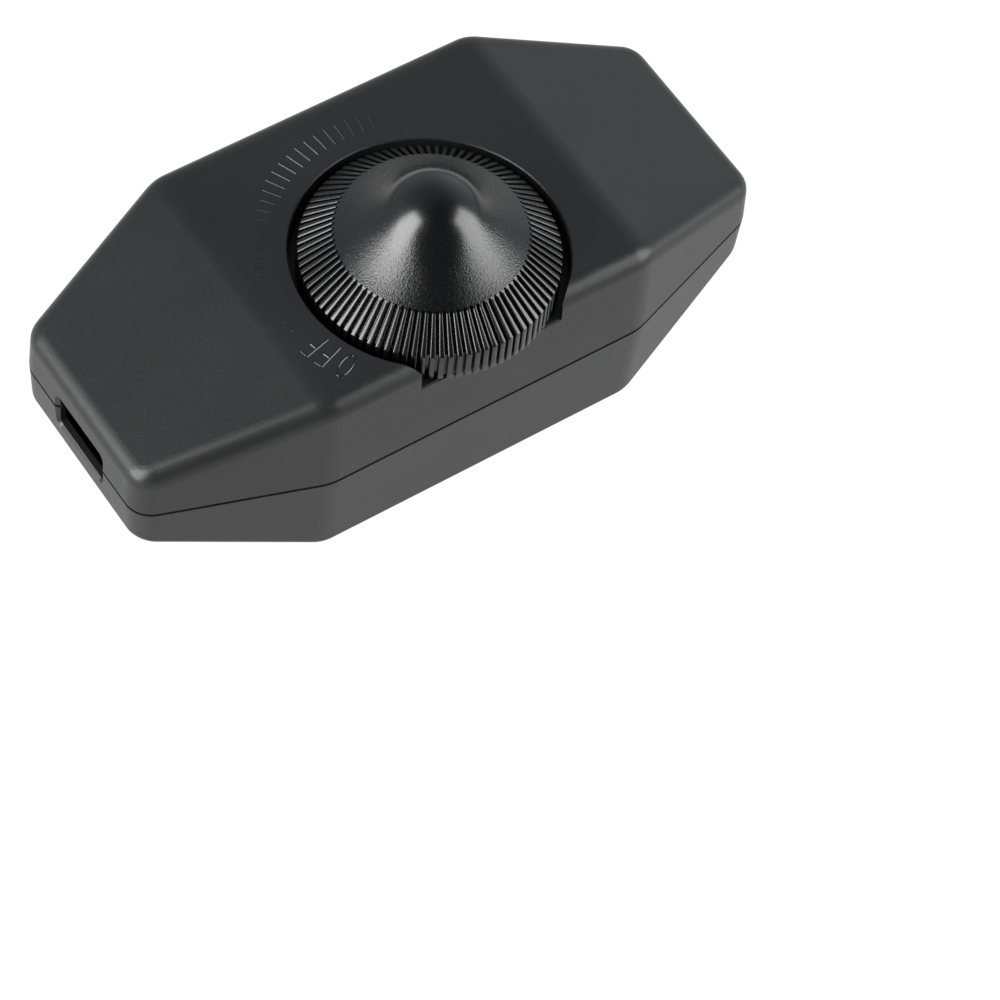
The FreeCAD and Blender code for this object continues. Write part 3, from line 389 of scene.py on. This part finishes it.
# %% [markdown]
# ## Dial
# The dial is a hat: a round tip, a hollow flank that flares out to the crown, a slanted ribbed band and
# an upright ribbed rim. A revolved profile with an Array of cutters would give the form but hard rib
# edges. Here one surface does it all: the profile is carried round the axis, and at each angle it moves
# part of the way from the outer line towards a second line, the floor of the grooves. Under the rim both
# lines go on as one, up the hollow inside and into the bore for the shaft. Lengths are in millimetres.

# %% Dial profile
DIAL_Y = -6.5
TIP_Z, TIP_R, STEEP = 40.95, 7.0, np.radians(52.0)
CROWN_R, CROWN_Z = 11.8, 32.75
RIM_R, RIM_TOP, RIM_Z = 16.05, 29.25, 24.9
GROOVE = 0.7
ARC_POINTS, NEARLY_CROWN = 11, 0.985
BAND_STEPS = np.array([0.0, 0.04, 0.08, 0.13, 0.19, 0.26, 0.34, 0.45, 0.7, 1.6, 3.0, 4.3, 5.2])
KNEE_ROUND = np.array([[-0.14, 0.09], [-0.05, 0.0], [-0.01, -0.07], [0.0, -0.16]])
KNEE_FLOOR_SHARE = 0.2
RIM_STEPS = np.array([27.6, 26.2, 25.1])
FOOT_ROUND = np.array([[-0.03, 0.08], [-0.1, 0.0]])
UNDER = np.array([[15.2, 24.9], [14.05, 24.9], [14.05, 28.56], [11.8, 30.42], [5.0, 30.42], [5.0, 27.65],
                  [3.05, 27.65], [3.05, 36.8]])


def hat_line():
    """Tip arc from level to STEEP, then one hollow arc on to the crown, as (radius, height). The hollow
    arc leaves the tip at STEEP, so its end slope is twice its chord's slope less STEEP."""
    ball = TIP_Z - TIP_R
    a = np.linspace(0, STEEP, ARC_POINTS)[1:]
    tip = np.stack([TIP_R * np.sin(a), ball + TIP_R * np.cos(a)], axis=-1)
    reach, drop = CROWN_R - tip[-1, 0], tip[-1, 1] - CROWN_Z
    flat = 2 * np.arctan2(drop, reach) - STEEP
    hollow = reach / (np.sin(STEEP) - np.sin(flat))
    b = STEEP + (flat - STEEP) * np.append(np.linspace(0, 1, ARC_POINTS)[1:-1], NEARLY_CROWN)
    bell = tip[-1] + hollow * np.stack([np.sin(STEEP) - np.sin(b), np.cos(STEEP) - np.cos(b)], axis=-1)
    return np.concatenate([tip, bell])


def band_lines():
    """The ribbed band and rim from the crown down, as (outer line, groove floor line). The floor lies
    GROOVE deep under both, and its corner is where the two sunken lines meet."""
    down = np.array([RIM_R - CROWN_R, RIM_TOP - CROWN_Z])
    down = down / np.linalg.norm(down)
    inward = np.array([down[1], -down[0]])
    band = np.array([CROWN_R, CROWN_Z]) + BAND_STEPS[:, None] * down
    knee = np.array([RIM_R, RIM_TOP]) + KNEE_ROUND
    rim = np.stack([np.full(len(RIM_STEPS), RIM_R), RIM_STEPS], axis=-1)
    foot = np.array([RIM_R, RIM_Z]) + FOOT_ROUND
    corner_z = RIM_TOP + GROOVE * (inward[1] - down[1] * (1 + inward[0]) / down[0])
    knee_floor = np.array([RIM_R - GROOVE, corner_z]) + KNEE_FLOOR_SHARE * KNEE_ROUND
    rim_floor = np.concatenate([rim, foot])
    rim_floor[:, 0] = RIM_R - GROOVE
    floor = np.concatenate([band + GROOVE * inward, knee_floor, rim_floor])
    return np.concatenate([band, knee, rim, foot]), floor


hat = hat_line()
band, band_floor = band_lines()
outer_line = np.concatenate([hat, band, UNDER])
floor_line = np.concatenate([hat, band_floor, UNDER])
print("profile stations:", len(outer_line))
print("lowest", outer_line[:, 1].min(), "widest", outer_line[:, 0].max())

# %% [markdown]
# Round the axis the samples are not even: each rib's pitch has more of them where the groove's wall and
# the rib's edge are. A cutter leaves grooves of one width with a round end, so the ribs are narrow at the
# crown and broader at the rim. Each has a narrow facet along the groove, a rounded edge, which catches
# the light as a thin line, and a slightly crowned top.

# %% Section of a rib
RIBS = 90
GROOVE_HALF, FLOOR_EDGE, WALL_LEAN, WALL_SHARE = 0.2, 0.05, 0.01, 0.8
FACET, FACET_LEAN = 0.06, np.radians(47)
EDGE_ROUND, EDGE_POINTS = 0.11, 6
TOP_LEAN, TOP_SAG = np.radians(9), 0.018
lean = np.linspace(FACET_LEAN, TOP_LEAN, EDGE_POINTS)
round_in = GROOVE_HALF + FACET + EDGE_ROUND * (np.sin(FACET_LEAN) - np.sin(lean))
round_down = TOP_SAG + EDGE_ROUND * (np.cos(TOP_LEAN) - np.cos(lean))
facet_down = round_down[0] + FACET * np.tan(FACET_LEAN)
NEAR = np.concatenate([[0.0, GROOVE_HALF - FLOOR_EDGE, GROOVE_HALF - WALL_LEAN, GROOVE_HALF], round_in])
SHARE = np.concatenate([[GROOVE, GROOVE, WALL_SHARE * GROOVE, facet_down], round_down]) / GROOVE
print("half a groove and its edge:", np.round(NEAR[-1], 3), "mm, in", len(NEAR), "samples")

# %% Dial surface
END_AHEAD, END_RISE = 0.06, 0.1
DIAL_CREASE = np.radians(40)


def dial_surface():
    """At angle t and station s the point is outer(s) + share(t) * start(t, s) * (floor(s) - outer(s)),
    turned to t about the dial's axis. NEAR gives the samples' distances from a groove's middle and SHARE
    their depths: the floor, the wall, a narrow slanted facet, and an arc of EDGE_ROUND up to the rib's
    top. Start is a smooth step from 0 to 1 over END_RISE, set back along a round groove end. The tip and
    the bore's end close to one point each."""
    radius = outer_line[:, :1]
    pitch = 2 * np.pi / RIBS * radius.clip(CROWN_R, RIM_R)
    half = np.concatenate([np.tile(NEAR, (len(pitch), 1)), pitch / 2], axis=1)
    across = np.concatenate([half / pitch, 1 - half[:, -2:0:-1] / pitch], axis=1)
    share = np.concatenate([SHARE, [0.0], SHARE[:0:-1]])
    rib = np.arange(RIBS)[None, :, None]
    turn = ((rib + across[:, None, :]) * 2 * np.pi / RIBS).reshape(len(pitch), -1)
    bite = GROOVE_HALF * (1 - np.sqrt(1 - (NEAR / GROOVE_HALF).clip(0, 1) ** 2)) - END_AHEAD
    bite = np.concatenate([bite, bite[-1:], bite[:0:-1]])
    start = ((radius - CROWN_R - bite) / END_RISE).clip(0, 1)
    weight = np.tile(share * start * start * (3 - 2 * start), RIBS)[..., None]
    line = outer_line[:, None, :] + weight * (floor_line - outer_line)[:, None, :]
    x, y, z = line[..., 0] * np.cos(turn), DIAL_Y + line[..., 0] * np.sin(turn), line[..., 1]
    ends = np.array([[0, DIAL_Y, TIP_Z], [0, DIAL_Y, UNDER[-1, 1]]])
    return np.stack([x, y, z], axis=-1), ends


def closed_rings(rings, ends):
    """Quads between neighbouring rings, and a fan of triangles to the point at each end."""
    count, around = rings.shape[:2]
    here = np.arange(around)
    after = (here + 1) % around
    row = np.arange(count - 1)[:, None] * around
    below = row + around
    quads = np.stack([row + here, below + here, below + after, row + after], axis=-1).reshape(-1, 4)
    top, last = count * around, (count - 1) * around
    caps = [np.stack([here, after, np.full(around, top)], axis=-1),
            np.stack([last + after, last + here, np.full(around, top + 1)], axis=-1)]
    points = np.concatenate([rings.reshape(-1, 3), ends]) * MM
    return points, quads.tolist() + caps[0].tolist() + caps[1].tolist()


dial = add_mesh("ribbed_dial", *closed_rings(*dial_surface()))
dial.data.set_sharp_from_angle(angle=DIAL_CREASE)
dial.data.materials.append(looks["dial_plastic"])
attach(dial, "dial")
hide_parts("dial_knob")

# %% [markdown]
# ## Scale round the dial
# The mould leaves a scale on the top: the word for the end stop, then marks that grow from dots to full
# strokes. Each mark is a slim raised bar with slanted sides, as an engraved mould leaves it. A Curve with
# a bevel could draw them, but a bar is simply one outline carried along a short line, so numpy makes all
# of them at once, their feet a little below the top.

# %% Raised bars
TOP_Z = 29.0
BAR_CREASE = np.radians(30)


def bars(lines, wide, high):
    """For each line of plan points: an outline across it, wide at the top's level, with sides that slant
    in at 45 degrees up to high and a foot sunk by the same amount."""
    lines = np.asarray(lines, float)
    along = np.gradient(lines, axis=1)
    along = along / np.linalg.norm(along, axis=2, keepdims=True)
    side = np.stack([-along[..., 1], along[..., 0]], axis=-1)
    foot, crest = wide / 2, wide / 2 - high
    reach = np.array([foot, crest, -crest, -foot, -foot, foot])
    flat = lines[:, :, None, :] + side[:, :, None, :] * reach[None, None, :, None]
    z = np.broadcast_to(TOP_Z + high * np.array([0, 1, 1, 0, -1, -1]), flat.shape[:3])
    return np.concatenate([flat, z[..., None]], axis=-1)


def bar_mesh(name, groups):
    """Joins bars into one object with sharp corners: quads between the outlines, one face at each end."""
    points, faces, base = [], [], 0
    for rings in groups:
        number, count, around = rings.shape[:3]
        here = np.arange(around)
        after = (here + 1) % around
        row = (np.arange(number)[:, None] * count + np.arange(count - 1)).reshape(-1, 1) * around
        quads = np.stack([row + here, row + after, row + around + after, row + around + here], axis=-1)
        first = np.arange(number)[:, None] * count * around
        faces += (base + quads.reshape(-1, 4)).tolist()
        faces += (base + first + here[::-1]).tolist()
        faces += (base + first + (count - 1) * around + here).tolist()
        points.append(rings.reshape(-1, 3))
        base += number * count * around
    piece = add_mesh(name, np.concatenate(points) * MM, faces)
    piece.data.set_sharp_from_angle(angle=BAR_CREASE)
    return piece

# %% [markdown]
# The marks stand every four degrees about a point a little left of the axis. They begin as dots, grow
# with the square of the angle, and go over into strokes of one length. An Array on a curve could repeat
# one mark, but not let it grow.

# %% Marks
SCALE_X = -0.24
MARK_EVERY, MARK_WIDE = 4.0, 0.26
FIRST_STROKE, PAST_STROKES, STROKE_HIGH = 120.5, 74.0, 0.08
STROKE_FROM, STROKE_TO = 19.4, 22.05
FIRST_DOT, PAST_DOTS, DOT_HIGH = 184.5, 123.0, 0.07
DOT_R, DOT_LENGTH = 20.5, 0.35
DOT_GROWTH, DOT_SPAN = 2.1, 60.0
BAR_STEPS = np.linspace(0, 1, 5)


def spokes(degrees, inner, outer):
    """Radial lines about the scale's middle, each with points at BAR_STEPS from inner to outer."""
    a = np.radians(degrees)
    r = inner[:, None] + (outer - inner)[:, None] * BAR_STEPS
    return np.stack([SCALE_X + r * np.cos(a)[:, None], DIAL_Y + r * np.sin(a)[:, None]], axis=-1)


full = np.arange(FIRST_STROKE, PAST_STROKES, -MARK_EVERY)
grow = np.arange(FIRST_DOT, PAST_DOTS, -MARK_EVERY)
length = DOT_LENGTH + DOT_GROWTH * ((FIRST_DOT - grow) / DOT_SPAN) ** 2
whole = spokes(full, np.full(len(full), STROKE_FROM), np.full(len(full), STROKE_TO))
growing = spokes(grow, DOT_R - length / 2, DOT_R + length / 2)
marks = bar_mesh("scale_marks", [bars(whole, MARK_WIDE, STROKE_HIGH), bars(growing, MARK_WIDE, DOT_HIGH)])
marks.data.materials.append(looks["case_plastic"])
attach(marks, "case")

# %% [markdown]
# The three letters stand with their tops outward and read clockwise. A Text object would bring a font's
# own forms, so their strokes are given once, in the letter's own upright plane, and turned to their
# places. The upper bar of the F is finer and less raised than the other strokes.

# %% Letters
LETTER_R = 19.83
O_AT, F_AT = 207.5, (199.9, 194.0)
O_HALF_WIDE, O_HALF_HIGH, O_POINTS = 0.7, 1.72, 33
STEM, MIDDLE_BAR = [(-0.55, -1.8), (-0.55, 1.8)], [(-0.4, 0.15), (0.4, 0.15)]
UPPER_BAR = [(-0.4, 1.72), (0.5, 1.72)]
LETTER_BAR, FINE_BAR = (0.24, 0.07), (0.2, 0.03)


def letter_at(strokes, degrees):
    """Turns strokes in (right, up) millimetres to an angle about the scale's middle, tops outward."""
    a = np.radians(degrees)
    up = np.array([np.cos(a), np.sin(a)])
    right = np.array([np.sin(a), -np.cos(a)])
    strokes = np.asarray(strokes, float)
    flat = strokes[..., :1] * right + (strokes[..., 1:] + LETTER_R) * up
    return flat + np.array([SCALE_X, DIAL_Y])


def straight(ends):
    """A straight stroke: points at BAR_STEPS of the way from the first end to the second."""
    first, second = np.array(ends)
    return first + BAR_STEPS[:, None] * (second - first)


turn = np.linspace(0.0, 2 * np.pi, O_POINTS)
letter_o = np.stack([O_HALF_WIDE * np.cos(turn), O_HALF_HIGH * np.sin(turn)], axis=-1)[None]
letter_f = [straight(STEM), straight(MIDDLE_BAR)]
upper_f = [straight(UPPER_BAR)]
letters = bar_mesh("end_stop_letters", [
    bars(letter_at(letter_o, O_AT), *LETTER_BAR),
    *[bars(letter_at(letter_f, degrees), *LETTER_BAR) for degrees in F_AT],
    *[bars(letter_at(upper_f, degrees), *FINE_BAR) for degrees in F_AT],
])
letters.data.materials.append(looks["dial_plastic"])
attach(letters, "case")
